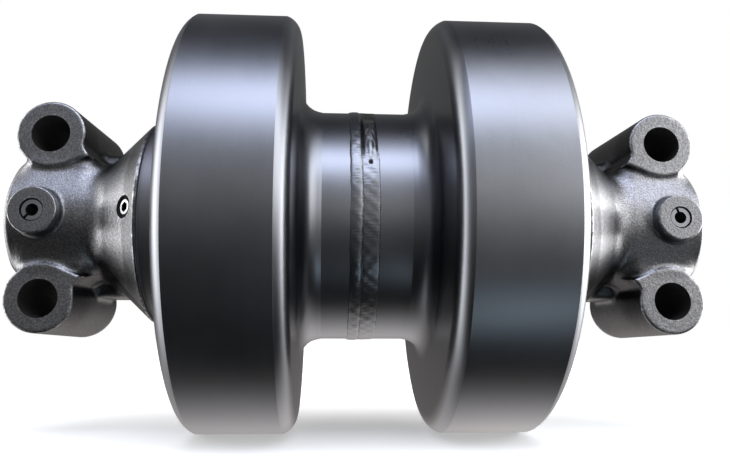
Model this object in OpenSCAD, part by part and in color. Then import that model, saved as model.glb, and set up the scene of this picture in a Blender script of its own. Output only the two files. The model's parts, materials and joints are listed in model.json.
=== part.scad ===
// Double-tread track roller with cast end collars.
// +Y runs along the axle, +Z is up as the roller stands on its treads,
// and -X is the machined mounting side. All lengths are in millimetres.

/* [Tread wheels] */
// Tread diameter
tread_d = 250; // [200:1:320]
// Clear gap between the two wheels at the hub, where the track guides run
wheel_gap = 75; // [50:1:110]
// Width of one wheel
wheel_w = 63; // [40:0.5:90]
// Rounding between the tread and a wheel's inner face
inner_round = 11.2; // [3:0.1:14]
// Angle at which that rounding leaves the tread
inner_crease = 20; // [0:1:40]
// Draft of a wheel's inner face from hub to tread
face_draft = 1; // [0:0.1:3]
// Rounding between the tread and a wheel's outer face
outer_round = 11.5; // [3:0.1:14]
// Angle at which that rounding leaves the tread
outer_crease = 27; // [0:1:45]
// Depth of the turned relief in the outer face
relief_depth = 1.2; // [0.4:0.1:3]

/* [Hub and shell] */
// Hub diameter between the wheels
hub_d = 140; // [110:1:170]
// Fillet between the hub and a wheel
hub_fillet = 12.5; // [4:0.5:16]
// Oil chamber diameter inside the hub
chamber_d = 92; // [80:1:98]
// Half length of the oil chamber
chamber_half = 43; // [30:1:46]
// Outer diameter of the turned spigot outside each wheel
spigot_d = 114; // [106:1:116]
// Distance from the middle to the end of the spigot
spigot_end = 108.5; // [106:0.5:112]

/* [Weld] */
// Radial depth of the vee groove between the shell halves
weld_depth = 10; // [5:0.5:16]
// Half width of the vee groove at the hub surface
weld_half = 6; // [4:0.5:9]
// Height of the bead above the hub
weld_rise = 1.1; // [0.5:0.1:2.5]

/* [Axle] */
// Diameter of the axle in the collars
axle_d = 50; // [44:0.5:54]
// Diameter of the bearing journals
journal_d = 60; // [56:0.5:62]
// Half length of the axle
axle_half = 200; // [196:0.5:202]
// Diameter of the oil gallery along the axle
gallery_d = 8; // [5:0.5:10]

/* [Bushes] */
// Outer diameter of a bush
bush_d = 68; // [66:0.5:72]
// Flange diameter of a bush
bush_flange_d = 82; // [76:0.5:86]
// Flange thickness of a bush
bush_flange_t = 4; // [2:0.5:6]
// Radial running clearance between journal and bush
bush_clear = 0.05; // [0.02:0.01:0.1]

/* [Face seals] */
// Distance from the middle to the plane where the seal faces meet
seal_plane = 108; // [107.8:0.1:108.2]
// Inner diameter of the metal seal rings
seal_id = 73; // [72:0.5:74]
// Outer diameter of the metal seal rings at the face
seal_face_d = 88; // [84:0.5:90]
// Diameter of the rubber ring that seats each metal ring
toric_w = 6; // [5:0.1:6.2]
// Diameter of the bores that hold the rubber rings
seat_d = 91; // [90:0.5:92]

/* [End collars] */
// Barrel diameter
barrel_d = 71; // [64:0.5:78]
// Distance from the middle to the end of the barrel
barrel_end = 203.5; // [201:0.5:208]
// Diameter of the flared flange's rim
rim_d = 121.8; // [116:0.2:123]
// Distance from the middle to the outer edge of the rim
rim_out = 124.4; // [123:0.1:128]
// Width of the rim
rim_w = 1.3; // [0.8:0.1:3]
// Diameter of the turned register that reaches in from the rim
register_d = 116.6; // [114:0.2:118]
// Axial gap between the register and the spigot
end_gap = 1; // [0.6:0.1:2]
// Distance from the axle to the bolt seats on the cast side
seat_x = 29.5; // [26:0.5:34]
// Distance from the axle to the machined pads
pad_x = 42; // [38:0.5:50]
// Diameter of the bolt columns
column_d = 39; // [36:0.5:44]
// Diameter of the machined pads
pad_d = 43; // [42:0.5:48]
// Half width of the cast block between the pads
block_half = 45.5; // [42:0.5:48]

/* [Bolt holes] */
// Spacing of the bolt holes along the axle
bolt_span_y = 366; // [360:0.5:368]
// Spacing of the bolt holes across the axle
bolt_span_z = 96; // [94:0.5:100]
// Bolt hole diameter
bolt_d = 22; // [18:0.5:24]

/* [Spring pins] */
// Outer diameter of a fitted spring pin
pin_d = 13; // [10:0.5:16]
// Bore of a fitted spring pin
pin_bore = 7; // [5:0.5:9]
// Width of the slot along a spring pin
pin_slot = 1.5; // [0.8:0.1:2.5]
// Distance from the axle to the face of the pin boss
pin_face = 43.3; // [40:0.5:48]
// Diameter of the pin boss
pin_boss_d = 27; // [22:0.5:32]
// Turn of the left pin's slot
pin_turn_left = 310; // [0:1:359]
// Turn of the right pin's slot
pin_turn_right = 108; // [0:1:359]

/* [Fill plug] */
// Diameter of the counterbore over the plug
plug_pocket_d = 12.4; // [11:0.2:13]
// Diameter of the plug
plug_d = 10; // [8:0.2:10.4]
// Length of the plug
plug_len = 8.5; // [6:0.5:9]
// Socket size across flats
plug_hex = 5; // [4:0.5:6]

/* [Hidden] */
$fn = 96;
tread_r = tread_d / 2;
in_y = wheel_gap / 2;
out_y = in_y + wheel_w;
hub_r = hub_d / 2;
axle_r = axle_d / 2;
journal_r = journal_d / 2;
bush_r = bush_d / 2;
flange_r = bush_flange_d / 2;
seat_r = seat_d / 2;
spigot_r = spigot_d / 2;
seal_gap = 0.05;
toric_r = toric_w / 2;
toric_c = seat_r - toric_r;
ring_r = seat_r - toric_w;
// Seats of the rubber rings, the bush flange and the axle shoulder
toric_y = 7;
seat_in = seal_plane - toric_y - toric_r - 0.1;
seat_out = seal_plane + toric_y + toric_r + 0.1;
bush_out = seat_in - 1.9;
nose_in = bush_out + 0.3;
nose_r = seal_id / 2 - 1.5;
register_in = spigot_end + end_gap;
bore_r = axle_r + 0.02;
barrel_r = barrel_d / 2;
rim_r = rim_d / 2;
flare = 0.922;
flare_y = rim_out + (rim_r - barrel_r) / flare;
bolt_y = bolt_span_y / 2;
bolt_z = bolt_span_z / 2;
pin_y = bolt_y + 1.4;
plug_r = 54.3;
plug_y = rim_out + (rim_r - plug_r) / flare;
plug_tilt = atan2(flare, 1);
plug_depth = 12;
// Where the plug's drilling meets the axle
oil_y = plug_y - plug_depth * sin(plug_tilt);
oil_r = 1.5;
feed_r = 2.5;
feed_y = (chamber_half + bush_out) / 2;
gallery_end = 128;
gallery_plug_y = 158;
gallery_plug_len = 9;
oring_y = 142;
oring_gap = 2.4;
oring_r = (oring_gap + bore_r - axle_r) / 2;
// Cast block behind the barrel, and the web between a collar's columns
block_x = [-36, -2];
block_len = 45;
block_round = 7;
web_len = 40;
web_out = 17;
web_half = bolt_z - 12;
web_low = seat_x - 2.6;
pocket_y = [147, 169];
pocket_half = 15;
pocket_x = -32;

// Points along an arc, for a profile.
function arc(cx, cy, r, a0, a1, n = 8) =
    [for (i = [0:n]) let (a = a0 + (a1 - a0) * i / n) [cx + r * cos(a), cy + r * sin(a)]];

// Turns a profile of radius and length about the axle.
module turned(n = 96) {
    rotate([-90, 0, 0])
        rotate_extrude($fn = n)
            children();
}

// Moves what is drawn for the right end to the end on this side.
module end(side) {
    if (side < 0)
        mirror([0, 1, 0])
            children();
    else
        children();
}

// A cylinder along the bolts, from x0 to x1.
module along_x(x0, x1, r, r2 = -1) {
    translate([x0, 0, 0])
        rotate([0, 90, 0])
            cylinder(h = x1 - x0, r1 = r, r2 = r2 < 0 ? r : r2);
}

// One forged half of the roller shell, with its wheel, spigot and bores.
module shell_half() {
    hub_out = in_y - face_draft / 2;
    rim_in = in_y + face_draft / 2;
    turned(180)
        polygon(concat(
            [[chamber_d / 2, 0], [hub_r - weld_depth, 0], [hub_r, weld_half]],
            arc(hub_r + hub_fillet, hub_out - hub_fillet, hub_fillet, 180, 90),
            arc(tread_r - inner_round * cos(inner_crease), rim_in + inner_round,
                inner_round, -90, -inner_crease),
            arc(tread_r - outer_round * cos(outer_crease), out_y - outer_round,
                outer_round, outer_crease, 90),
            [[tread_r - 17, out_y], [tread_r - 17 - relief_depth, out_y - relief_depth],
                [spigot_r + 14 + relief_depth, out_y - relief_depth], [spigot_r + 14, out_y]],
            arc(spigot_r + 3, out_y + 3, 3, -90, -180, 6),
            [[spigot_r, spigot_end - 1], [spigot_r - 1, spigot_end], [seat_r, spigot_end],
                [seat_r, seat_in], [flange_r, seat_in], [flange_r, bush_out - bush_flange_t],
                [bush_r, bush_out - bush_flange_t], [bush_r, chamber_half + 6],
                [chamber_d / 2, chamber_half]]));
}

module shell_left() {
    color("dimgray")
        end(-1)
            shell_half();
}

module shell_right() {
    color("dimgray")
        shell_half();
}

// The arc weld that joins the shell halves: a vee root under two passes.
module weld_bead() {
    color("slategray")
        turned(180)
            polygon([[hub_r - weld_depth, 0], [hub_r, -weld_half], [hub_r, -9.6],
                [hub_r + weld_rise * 0.6, -8.6], [hub_r + weld_rise * 0.9, -6.4],
                [hub_r + weld_rise * 0.6, -4.2], [hub_r + weld_rise * 0.3, -3.4],
                [hub_r + weld_rise * 0.8, -1.6], [hub_r + weld_rise, 1.6],
                [hub_r + weld_rise * 0.8, 4.6], [hub_r + weld_rise * 0.4, 6.4],
                [hub_r, 7], [hub_r, weld_half]]);
}

// Flanged bearing bush, pressed into a shell half.
module bush() {
    r = journal_r + bush_clear;
    turned()
        polygon([[r + 0.6, chamber_half + 7], [bush_r - 0.8, chamber_half + 7],
            [bush_r, chamber_half + 8.5], [bush_r, bush_out - bush_flange_t],
            [flange_r, bush_out - bush_flange_t], [flange_r, bush_out],
            [r + 0.8, bush_out], [r, bush_out - 0.8], [r, chamber_half + 7.6]]);
}

module bush_left() {
    color("goldenrod")
        end(-1)
            bush();
}

module bush_right() {
    color("goldenrod")
        bush();
}

// Half of the axle: relief, journal, shoulder, collar seat and O-ring groove.
module axle_half_body() {
    turned()
        polygon([[0, 0], [journal_r - 1.5, 0], [journal_r - 1.5, chamber_half - 2],
            [journal_r, chamber_half + 2], [journal_r, nose_in - 0.5],
            [journal_r - 0.5, nose_in], [axle_r, nose_in], [axle_r, oring_y - 1.6],
            [axle_r - oring_gap, oring_y - 1.6], [axle_r - oring_gap, oring_y + 1.6],
            [axle_r, oring_y + 1.6], [axle_r, axle_half - 2], [axle_r - 2, axle_half],
            [0, axle_half]]);
}

module axle() {
    color("silver")
        difference() {
            union() {
                axle_half_body();
                end(-1)
                    axle_half_body();
            }
            // Oil gallery, open at the right end
            translate([0, -gallery_end, 0])
                rotate([-90, 0, 0])
                    cylinder(h = axle_half + gallery_end + 1, d = gallery_d, $fn = 48);
            // Feed from the plug, and one feed to each journal
            translate([0, -oil_y, 0])
                along_x(0, axle_r + 1, oil_r);
            for (y = [-feed_y, feed_y])
                translate([0, y, 0])
                    along_x(-journal_r - 1, 0, feed_r);
            for (y = [-pin_y, pin_y])
                translate([0, y, 0])
                    along_x(-axle_r - 1, axle_r + 1, pin_d / 2);
        }
}

// Press-in plug that closes the oil gallery inboard of the right pin.
module gallery_plug() {
    color("darkkhaki")
        translate([0, gallery_plug_y, 0])
            rotate([-90, 0, 0])
                cylinder(h = gallery_plug_len, d = gallery_d, $fn = 48);
}

// Turned outline of a collar: barrel, flare, register, seal seat and nose.
module collar_outline() {
    turned(144)
        polygon(concat(
            [[bore_r + 1, barrel_end], [barrel_r - 3, barrel_end]],
            arc(barrel_r - 3, barrel_end - 3, 3, 90, 0, 4),
            arc(barrel_r + 12, flare_y + 4.9, 12, 180, 180 + atan(flare) + 2, 5),
            [[rim_r, rim_out], [rim_r, rim_out - rim_w], [register_d / 2, rim_out - rim_w],
                [register_d / 2, register_in + 0.8], [register_d / 2 - 0.8, register_in],
                [seat_r, register_in], [seat_r, seat_out], [nose_r, seat_out],
                [nose_r, nose_in + 0.6], [nose_r - 0.6, nose_in], [bore_r, nose_in],
                [bore_r, barrel_end - 1]]));
}

// A bolt column with its machined pad.
module column_at(z) {
    translate([0, bolt_y, z]) {
        along_x(-2, seat_x - 1, column_d / 2);
        along_x(seat_x - 1, seat_x, column_d / 2, column_d / 2 - 1);
        along_x(-pad_x + 5, -2, column_d / 2 + 0.9);
        along_x(-pad_x, -pad_x + 8, pad_d / 2);
        along_x(-pad_x + 8, -pad_x + 14, pad_d / 2, column_d / 2 + 0.9);
    }
}

// Web that joins both columns to the barrel, with sloping shoulders.
module column_web() {
    h = web_half;
    translate([0, bolt_y + web_out, 0])
        rotate([90, 0, 0])
            linear_extrude(height = web_len)
                polygon([[block_x[0], -h], [seat_x - 7.5, -h], [seat_x - 0.4, -h + 7],
                    [web_low, -20], [web_low, 20], [seat_x - 0.4, h - 7],
                    [seat_x - 7.5, h], [block_x[0], h]]);
}

// Cast block behind the barrel, between the pads and the flare.
module base_block() {
    r = block_round;
    w = block_x[1] - block_x[0];
    translate([block_x[0], bolt_y, 0])
        rotate([90, 0, 0])
            linear_extrude(height = block_len)
                union() {
                    translate([r, -block_half])
                        square([w - 2 * r, 2 * block_half]);
                    translate([0, -block_half + r])
                        square([w, 2 * block_half - 2 * r]);
                    for (x = [r, w - r], z = [-block_half + r, block_half - r])
                        translate([x, z])
                            circle(r = r, $fn = 32);
                }
}

// Hollow cast into the back of the block, between the pads.
module base_pocket() {
    translate([pocket_x - 10, pocket_y[0], -pocket_half])
        cube([10, pocket_y[1] - pocket_y[0], 2 * pocket_half]);
}

// Everything that is cut from a collar.
module collar_cuts() {
    turned()
        polygon([[0, nose_in - 1], [bore_r, nose_in - 1], [bore_r, barrel_end - 1],
            [bore_r + 1.1, barrel_end + 0.1], [bore_r + 1.1, barrel_end + 4],
            [0, barrel_end + 4]]);
    for (z = [-bolt_z, bolt_z])
        translate([0, bolt_y, z])
            along_x(-pad_x - 1, seat_x + 1, bolt_d / 2);
    translate([0, pin_y, 0])
        along_x(-pad_x, pin_face + 1, pin_d / 2);
    base_pocket();
}

// One cast end collar.
module collar_body() {
    difference() {
        union() {
            collar_outline();
            column_at(bolt_z);
            column_at(-bolt_z);
            column_web();
            base_block();
            translate([0, pin_y, 0]) {
                along_x(24, pin_face - 1, pin_boss_d / 2);
                along_x(pin_face - 1, pin_face, pin_boss_d / 2, pin_boss_d / 2 - 1);
            }
        }
        collar_cuts();
    }
}

// Places what is drawn along X at the plug's mouth, pointing out of the flare.
module at_plug() {
    translate([plug_r, plug_y, 0])
        rotate([0, 0, plug_tilt])
            children();
}

module collar_left() {
    color("gray")
        end(-1)
            difference() {
                collar_body();
                at_plug() {
                    along_x(-3, 4, plug_pocket_d / 2);
                    along_x(-plug_depth, 0, plug_d / 2);
                }
                translate([0, oil_y, 0])
                    along_x(axle_r - 1, plug_r - plug_depth * cos(plug_tilt), oil_r);
            }
}

module collar_right() {
    color("gray")
        collar_body();
}

// Socket plug in the left flare.
module fill_plug() {
    color("lightgray")
        end(-1)
            at_plug()
                difference() {
                    union() {
                        along_x(-3 - plug_len, -1.9, plug_d / 2);
                        along_x(-1.9, -0.9, plug_d / 2, plug_d / 2 - 0.8);
                    }
                    translate([-4.9, 0, 0])
                        rotate([0, 90, 0])
                            cylinder(h = 6, d = plug_hex / cos(30), $fn = 6);
                }
}

// Bonded washer that seats in the counterbore around the plug.
module plug_washer() {
    color("black")
        end(-1)
            at_plug()
                difference() {
                    along_x(-3, -2.1, plug_pocket_d / 2);
                    along_x(-4, 0, plug_d / 2);
                }
}

// Slotted spring pin that locks the axle to a collar.
module spring_pin(turn) {
    translate([0, pin_y, 0])
        rotate([turn, 0, 0])
            difference() {
                union() {
                    along_x(-31.8, pin_face - 2.2, pin_d / 2);
                    along_x(pin_face - 2.2, pin_face - 0.9, pin_d / 2, pin_d / 2 - 0.8);
                    along_x(-33, -31.8, pin_d / 2 - 0.8, pin_d / 2);
                }
                along_x(-40, pin_face + 4, pin_bore / 2);
                translate([-40, 0, -pin_slot / 2])
                    cube([pin_face + 44, pin_d, pin_slot]);
            }
}

module spring_pin_left() {
    color("lightsteelblue")
        end(-1)
            spring_pin(pin_turn_left);
}

module spring_pin_right() {
    color("lightsteelblue")
        spring_pin(pin_turn_right);
}

// O-ring between the axle and a collar.
module oring() {
    turned()
        translate([bore_r - oring_r, oring_y])
            circle(r = oring_r, $fn = 24);
}

module oring_left() {
    color("black")
        end(-1)
            oring();
}

module oring_right() {
    color("black")
        oring();
}

// Metal face-seal ring, drawn outward from the seal plane.
module seal_ring() {
    id = seal_id / 2;
    turned()
        polygon([[id, seal_gap], [seal_face_d / 2 - 0.5, seal_gap],
            [seal_face_d / 2, seal_gap + 0.5], [seal_face_d / 2, 3.2],
            [ring_r + 0.6, 3.9], [ring_r, 4.6], [ring_r, 9.5], [id, 9.5]]);
}

// Rubber ring that seats and drives a metal ring.
module toric() {
    turned()
        translate([toric_c, toric_y])
            circle(r = toric_r, $fn = 32);
}

// Places a seal piece: half says which end, way is 1 outward or -1 inward.
module at_seal(half, way) {
    end(half)
        translate([0, seal_plane, 0])
            end(way)
                children();
}

module seal_rotating_left() {
    color("silver")
        at_seal(-1, -1)
            seal_ring();
}

module seal_rotating_right() {
    color("silver")
        at_seal(1, -1)
            seal_ring();
}

module seal_fixed_left() {
    color("silver")
        at_seal(-1, 1)
            seal_ring();
}

module seal_fixed_right() {
    color("silver")
        at_seal(1, 1)
            seal_ring();
}

module toric_rotating_left() {
    color("black")
        at_seal(-1, -1)
            toric();
}

module toric_rotating_right() {
    color("black")
        at_seal(1, -1)
            toric();
}

module toric_fixed_left() {
    color("black")
        at_seal(-1, 1)
            toric();
}

module toric_fixed_right() {
    color("black")
        at_seal(1, 1)
            toric();
}

shell_left();
shell_right();
weld_bead();
bush_left();
bush_right();
axle();
gallery_plug();
collar_left();
collar_right();
spring_pin_left();
spring_pin_right();
oring_left();
oring_right();
seal_rotating_left();
seal_rotating_right();
seal_fixed_left();
seal_fixed_right();
toric_rotating_left();
toric_rotating_right();
toric_fixed_left();
toric_fixed_right();
fill_plug();
plug_washer();
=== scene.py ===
"""Finished model of a double-tread track roller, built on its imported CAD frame."""

import json
import math

import bpy
import numpy as np
from bpy.props import FloatProperty, FloatVectorProperty, IntProperty, PointerProperty
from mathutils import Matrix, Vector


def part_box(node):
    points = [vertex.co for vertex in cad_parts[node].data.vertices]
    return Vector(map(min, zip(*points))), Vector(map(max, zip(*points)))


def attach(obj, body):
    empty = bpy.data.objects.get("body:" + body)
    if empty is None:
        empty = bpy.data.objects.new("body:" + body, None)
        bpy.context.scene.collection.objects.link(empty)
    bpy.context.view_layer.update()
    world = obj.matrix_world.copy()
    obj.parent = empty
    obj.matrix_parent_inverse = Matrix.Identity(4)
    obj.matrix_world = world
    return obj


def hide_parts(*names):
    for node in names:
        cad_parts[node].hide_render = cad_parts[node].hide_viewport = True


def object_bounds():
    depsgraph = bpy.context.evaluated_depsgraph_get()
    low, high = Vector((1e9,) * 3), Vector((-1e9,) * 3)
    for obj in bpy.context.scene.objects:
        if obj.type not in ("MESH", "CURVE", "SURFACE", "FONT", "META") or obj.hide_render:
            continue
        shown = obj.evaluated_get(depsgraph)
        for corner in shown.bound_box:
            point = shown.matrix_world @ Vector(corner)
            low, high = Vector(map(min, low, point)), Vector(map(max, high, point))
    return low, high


bl_info = {
    "name": "Track roller",
    "version": (1, 0, 0),
    "blender": (4, 5, 0),
    "location": "View3D > Sidebar > Roller",
    "description": "Builds the looks of a double-tread track roller round its CAD frame",
    "category": "Object",
}

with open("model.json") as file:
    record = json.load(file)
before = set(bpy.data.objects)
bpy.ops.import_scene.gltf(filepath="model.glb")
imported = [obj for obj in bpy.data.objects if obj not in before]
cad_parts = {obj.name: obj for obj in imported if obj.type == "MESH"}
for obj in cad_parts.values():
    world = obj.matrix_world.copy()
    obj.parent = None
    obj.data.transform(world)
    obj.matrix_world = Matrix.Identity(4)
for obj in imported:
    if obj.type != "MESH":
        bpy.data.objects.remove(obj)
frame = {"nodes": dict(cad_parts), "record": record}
CAD_LOW, CAD_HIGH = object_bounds()

MM = 0.001
MOUNTS = {m["name"]: m for m in frame["record"]["mounts"]}
BOLTS = MOUNTS["frame_bolts"]["dims"]
BOLT_Y = BOLTS["spacing_x_mm"] / 2 * MM
BOLT_Z = BOLTS["spacing_y_mm"] / 2 * MM
BOLT_R = BOLTS["hole_r_mm"] * MM
PAD_X = MOUNTS["frame_bolts"]["pos_m"][0]
SHELL_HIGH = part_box("shell_right")[1]
COLLAR_LOW, COLLAR_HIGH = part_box("collar_right")
WELD_LOW, WELD_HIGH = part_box("weld_bead")
BUSH_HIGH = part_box("bush_right")[1]
SEAL_LOW, SEAL_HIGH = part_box("toric_rotating_right")
PIN_LOW, PIN_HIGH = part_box("spring_pin_right")
TREAD_R = SHELL_HIGH.z
SPIGOT_END = SHELL_HIGH.y
RIM_R = COLLAR_HIGH.x
PAD_R = COLLAR_HIGH.y - BOLT_Y
NOSE_END = COLLAR_LOW.y
PIN_R = PIN_HIGH.z
PIN_Y = (PIN_LOW.y + PIN_HIGH.y) / 2
FLOOR_Z = CAD_LOW.z
SIDES = (("left", -1), ("right", 1))

# The collar's flare gains FLARE in radius for each step towards the wheel.
FLARE = 0.922
BORE_R = 25.02 * MM
POCKET_R = 6.2 * MM
PLUG_DRILL_R = 5 * MM
PLUG_MOUTH_R = 54.3 * MM

# Opposite corners of the square shapes in the right collar's casting, in mm.
WEB = ((-36, 157, -37), (27.6, 200, 37))
BASE = ((-36, 139, -45.5), (-2, BOLT_Y / MM, 45.5))
HOLLOW = ((-60, 147, -15), (-32, 169, 15))

# Outline of the pointed foot of a bolt column, in mm along and across from the bolt.
SKIRT = ((-22.5, -12.8), (-15.5, -2), (15.5, -2), (17.6, -8.5), (9, -17.4), (-9, -17.6))

# The weld's passes: middle and half width in mm, share of the rise, flatness, turn in radians.
WELD_PASSES = ((-6.2, 3.8, 1.2, 1, 0), (1.8, 5.2, 0.55, 3, 2.1))
WELD_DEEPEST, WELD_TALLEST = -1.1 * MM, 1.5 * MM

CAMERA_PLACE = (0.4078, -0.0207, -0.0705)
CAMERA_TURN = (99.30, -0.08, 86.75)  # degrees


# ---------------------------------------------------------------- settings


class ShellSettings(bpy.types.PropertyGroup):
    """Sizes of the turned roller shell."""

    gap: FloatProperty(
        name="Channel",
        description="Clear width between the wheels",
        default=75 * MM,
        unit="LENGTH",
    )
    wheel: FloatProperty(
        name="Wheel width", description="Width of one wheel", default=63 * MM, unit="LENGTH"
    )
    hub: FloatProperty(
        name="Hub radius", description="Radius of the hub", default=70 * MM, unit="LENGTH"
    )
    hub_fillet: FloatProperty(
        name="Hub fillet", description="Fillet from hub to wheel", default=12.5 * MM, unit="LENGTH"
    )
    hub_crease: FloatProperty(
        name="Hub crease",
        description="Angle at which the fillet leaves the hub",
        default=math.radians(12),
        unit="ROTATION",
    )
    inner_round: FloatProperty(
        name="Inner rounding",
        description="Rounding between a tread and its inner face",
        default=11 * MM,
        unit="LENGTH",
    )
    inner_crease: FloatProperty(
        name="Inner crease",
        description="Angle at which the inner rounding leaves the tread",
        default=math.radians(20),
        unit="ROTATION",
    )
    outer_round: FloatProperty(
        name="Outer rounding",
        description="Rounding between a tread and its outer face",
        default=11.3 * MM,
        unit="LENGTH",
    )
    outer_crease: FloatProperty(
        name="Outer crease",
        description="Angle at which the outer rounding leaves the tread",
        default=math.radians(27),
        unit="ROTATION",
    )
    spigot: FloatProperty(
        name="Spigot radius",
        description="Radius of the outer spigot",
        default=57 * MM,
        unit="LENGTH",
    )
    segments: IntProperty(
        name="Segments", description="Faces round the shell", default=288, min=48, max=720
    )


class WeldSettings(bpy.types.PropertyGroup):
    """Sizes of the arc weld round the hub."""

    rise: FloatProperty(
        name="Rise",
        description="Height of the bead above the hub",
        default=0.75 * MM,
        unit="LENGTH",
    )
    ripple: FloatProperty(
        name="Ripple", description="Depth of the ripples", default=0.02 * MM, unit="LENGTH"
    )
    pitch: FloatProperty(
        name="Pitch", description="Distance from ripple to ripple", default=2.1 * MM, unit="LENGTH"
    )
    crater_at: FloatProperty(
        name="Crater",
        description="Where the bead starts and stops",
        default=math.radians(36),
        unit="ROTATION",
    )


class CollarSettings(bpy.types.PropertyGroup):
    """Sizes of the cast end collars."""

    barrel: FloatProperty(
        name="Barrel radius", description="Radius of the barrel", default=35.5 * MM, unit="LENGTH"
    )
    barrel_end: FloatProperty(
        name="Barrel end",
        description="Distance from the middle to the barrel's end",
        default=203.5 * MM,
        unit="LENGTH",
    )
    column: FloatProperty(
        name="Column radius",
        description="Radius of the bolt columns",
        default=19.5 * MM,
        unit="LENGTH",
    )
    seat: FloatProperty(
        name="Bolt seat",
        description="Distance from axle to bolt seats",
        default=29.5 * MM,
        unit="LENGTH",
    )
    pin_face: FloatProperty(
        name="Pin boss face",
        description="Distance from axle to pin boss face",
        default=43.3 * MM,
        unit="LENGTH",
    )
    pin_boss: FloatProperty(
        name="Pin boss radius",
        description="Radius of the pin boss",
        default=13.5 * MM,
        unit="LENGTH",
    )
    rim: FloatProperty(
        name="Rim",
        description="Distance from the middle to the rim",
        default=124.4 * MM,
        unit="LENGTH",
    )
    register: FloatProperty(
        name="Register radius",
        description="Radius of the turned register",
        default=58.3 * MM,
        unit="LENGTH",
    )
    fillet: FloatProperty(
        name="Cast fillet",
        description="Size of the fillets between cast shapes",
        default=5 * MM,
        unit="LENGTH",
    )
    step: FloatProperty(
        name="Casting step",
        description="Grid step of the cast surface",
        default=0.85 * MM,
        unit="LENGTH",
    )


class FinishSettings(bpy.types.PropertyGroup):
    """Colours of the finishes."""

    turned: FloatVectorProperty(
        name="Turned steel",
        description="Colour of the turned shell",
        subtype="COLOR",
        default=(0.30, 0.31, 0.335),
    )
    cast: FloatVectorProperty(
        name="Cast steel",
        description="Colour of the blasted castings",
        subtype="COLOR",
        default=(0.29, 0.29, 0.30),
    )
    weld: FloatVectorProperty(
        name="Weld metal",
        description="Colour of the weld bead",
        subtype="COLOR",
        default=(0.29, 0.30, 0.32),
    )
    ground: FloatVectorProperty(
        name="Ground steel",
        description="Colour of the axle and seals",
        subtype="COLOR",
        default=(0.46, 0.46, 0.47),
    )
    blued: FloatVectorProperty(
        name="Spring steel",
        description="Colour of the spring pins",
        subtype="COLOR",
        default=(0.33, 0.33, 0.345),
    )
    plated: FloatVectorProperty(
        name="Plated steel",
        description="Colour of the fill plug",
        subtype="COLOR",
        default=(0.62, 0.62, 0.63),
    )
    bronze: FloatVectorProperty(
        name="Bronze",
        description="Colour of the bushes",
        subtype="COLOR",
        default=(0.62, 0.43, 0.20),
    )
    rubber: FloatVectorProperty(
        name="Rubber",
        description="Colour of the rubber rings",
        subtype="COLOR",
        default=(0.02, 0.02, 0.02),
    )


class StageSettings(bpy.types.PropertyGroup):
    """Floor, light and camera."""

    floor: FloatVectorProperty(
        name="Floor",
        description="Colour of the floor",
        subtype="COLOR",
        default=(0.86, 0.86, 0.86),
    )
    backdrop: FloatProperty(
        name="Backdrop", description="Brightness behind the roller", default=1.0, min=0, max=2
    )
    key: FloatProperty(
        name="Overhead light", description="Brightness of the long light above", default=3.4, min=0
    )
    lens: FloatProperty(
        name="Lens", description="Focal length on a 36 mm sensor", default=32.35, min=10, max=200
    )


# ---------------------------------------------------------------- meshes


def finished(name, body, replaced, materials, angle=None, finest=0.1 * MM):
    """Hangs a mesh's object on its body, hides the parts it stands for and sets its finish."""
    piece = bpy.data.objects[name]
    piece.data.materials.clear()
    for material in materials:
        piece.data.materials.append(material)
    piece.data.polygons.foreach_set("material_index", np.zeros(len(piece.data.polygons), np.int32))
    piece.data.polygons.foreach_set("use_smooth", np.ones(len(piece.data.polygons), bool))
    if angle is not None:
        piece.data.set_sharp_from_angle(angle=angle)
    mark_edges(piece.data, finest)
    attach(piece, body)
    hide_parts(*replaced)
    return piece


def new_piece(name, points, faces):
    """Puts points and faces into a mesh, turned outwards if its volume comes out negative."""
    points = np.asarray(points, float).reshape(-1, 3)
    if volume(points, faces) < 0:
        faces = faces[:, ::-1]
    mesh = bpy.data.meshes.new(name)
    mesh.from_pydata(points.tolist(), [], faces.tolist())
    mesh.validate()
    piece = bpy.data.objects.new(name, mesh)
    bpy.context.scene.collection.objects.link(piece)
    return piece


def volume(points, faces):
    """Six times the enclosed volume: the sum of a . (b x c) over each face's fan of triangles."""
    total = 0.0
    for i in range(1, faces.shape[1] - 1):
        a, b, c = (points[faces[:, j]] for j in (0, i, i + 1))
        total += float(np.einsum("ij,ij->", a, np.cross(b, c)))
    return total


def mark_edges(mesh, finest):
    """Stores how strongly the surface bends at each point, per millimetre: along each edge, the
    change of the normal towards the other end over the length, or over the finest length. The
    largest bend outwards goes into the attribute edge, the largest inwards into nook."""
    count = len(mesh.vertices)
    points, normals = np.empty((2, count * 3))
    mesh.vertices.foreach_get("co", points)
    mesh.vertices.foreach_get("normal", normals)
    points, normals = points.reshape(-1, 3), normals.reshape(-1, 3)
    pairs = np.empty(len(mesh.edges) * 2, np.int32)
    mesh.edges.foreach_get("vertices", pairs)
    a, b = pairs.reshape(-1, 2).T
    way = points[b] - points[a]
    length = np.maximum((way**2).sum(1), finest**2)
    bend = ((normals[b] - normals[a]) * way).sum(1) / length * MM
    for name, sign in (("edge", 1), ("nook", -1)):
        largest = np.zeros(count)
        np.maximum.at(largest, a, sign * bend)
        np.maximum.at(largest, b, sign * bend)
        made = mesh.attributes.new(name, "FLOAT", "POINT")
        made.data.foreach_set("value", np.minimum(largest, 1.0).astype(np.float32))


def measure(mesh):
    """Enclosed volume of a mesh, from its triangles."""
    points = np.empty(len(mesh.vertices) * 3)
    mesh.vertices.foreach_get("co", points)
    mesh.calc_loop_triangles()
    corners = np.empty(len(mesh.loop_triangles) * 3, np.int32)
    mesh.loop_triangles.foreach_get("vertices", corners)
    return volume(points.reshape(-1, 3), corners.reshape(-1, 3)) / 6


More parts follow.
